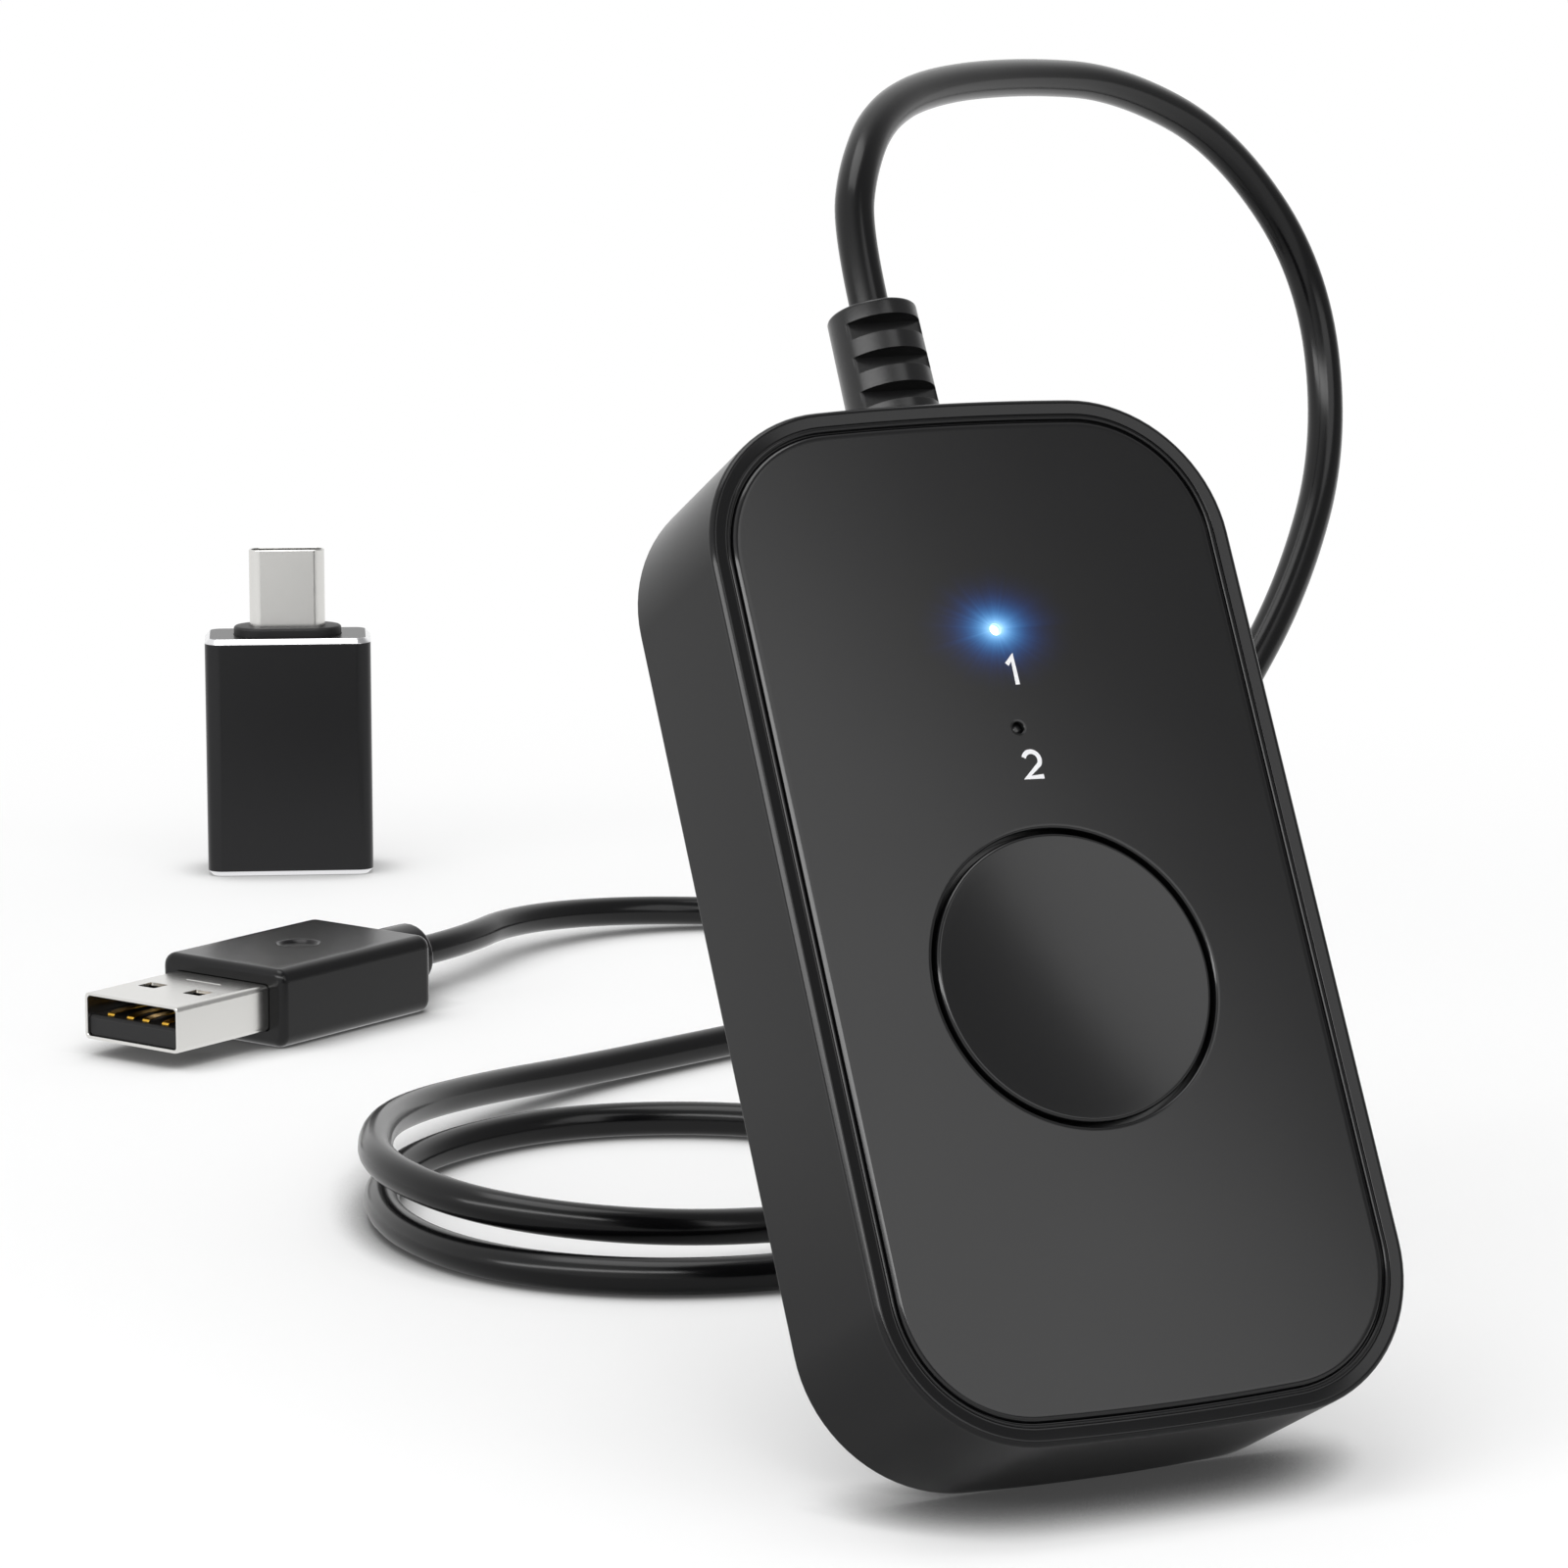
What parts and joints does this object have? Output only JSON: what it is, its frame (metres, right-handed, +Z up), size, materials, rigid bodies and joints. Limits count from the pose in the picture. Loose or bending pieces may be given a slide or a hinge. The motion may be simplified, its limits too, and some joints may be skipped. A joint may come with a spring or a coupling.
{
  "type": "wired mouse jiggler",
  "caption": "Wired mouse jiggler: a slim leaning box with a round push button and indicator holes, a looped lead with its plug, and a separate plug adapter.",
  "frame": {"origin": "the spot on the surface where the middle of the housing's lower rear edge rests", "axes": "+Z up from the surface; +X across the housing, to the right of someone who faces it; +Y the way the housing leans back and the cord runs"},
  "size_m": [0.0994, 0.266, 0.098],
  "materials": {
    "shell_abs": "fine matte moulded black ABS",
    "panel_abs": "satin moulded black ABS",
    "cap_abs": "satin moulded black ABS",
    "tpe": "soft black elastomer",
    "jacket": "smooth glossy black cord jacket",
    "nickel": "bright nickel-plated steel",
    "gold": "gold-plated contact strip",
    "insulator": "black moulded insulator",
    "anodised": "black anodised with bright cut chamfers",
    "screw_steel": "zinc-plated screw",
    "board_epoxy": "green solder mask on glass epoxy",
    "chip_epoxy": "black moulded package",
    "ceramic": "sintered ceramic with tinned ends",
    "can_steel": "drawn steel can",
    "clear_acrylic": "clear moulded light guide",
    "led_resin": "clear-top light package",
    "white_nylon": "natural nylon header",
    "wire_pvc": "coloured lead insulation"
  },
  "bodies": {
    "fixed": {"housing_shell": "shell_abs", "face_panel": "panel_abs", "rear_cover": "shell_abs", "cover_screws": "screw_steel", "circuit_board": "board_epoxy", "board_screws": "screw_steel", "switch_body": "insulator", "switch_plate": "can_steel", "switch_legs": "can_steel", "upper_led": "led_resin", "lower_led": "led_resin", "upper_light_guide": "clear_acrylic", "lower_light_guide": "clear_acrylic", "microcontroller": "chip_epoxy", "crystal": "can_steel", "chip_resistors": "ceramic", "chip_capacitors": "ceramic", "wire_header": "white_nylon", "lead_wires": "wire_pvc", "cord_stub": "jacket", "strain_relief": "tpe", "cord_rise": "jacket", "cord_loops": "jacket", "cord_tail": "jacket", "plug_overmould": "tpe", "plug_shell": "nickel", "plug_tongue": "insulator", "plug_contacts": "gold", "adapter_sleeve": "anodised", "adapter_nose": "insulator", "adapter_plug_shell": "nickel", "adapter_plug_lining": "insulator", "adapter_plug_contacts": "gold", "adapter_port_frame": "insulator", "adapter_port_shell": "nickel", "adapter_port_blade": "insulator", "adapter_port_contacts": "gold"},
    "button": {"button_cap": "cap_abs", "switch_plunger": "insulator"}
  },
  "joints": [
    {"name": "button_press", "type": "slide", "parent": "fixed", "child": "button", "axis": [0, 0.8813, -0.4726], "range_m": [0, 0.0005], "stiffness_N_per_m": 1600, "springref_m": -0.0005}
  ]
}
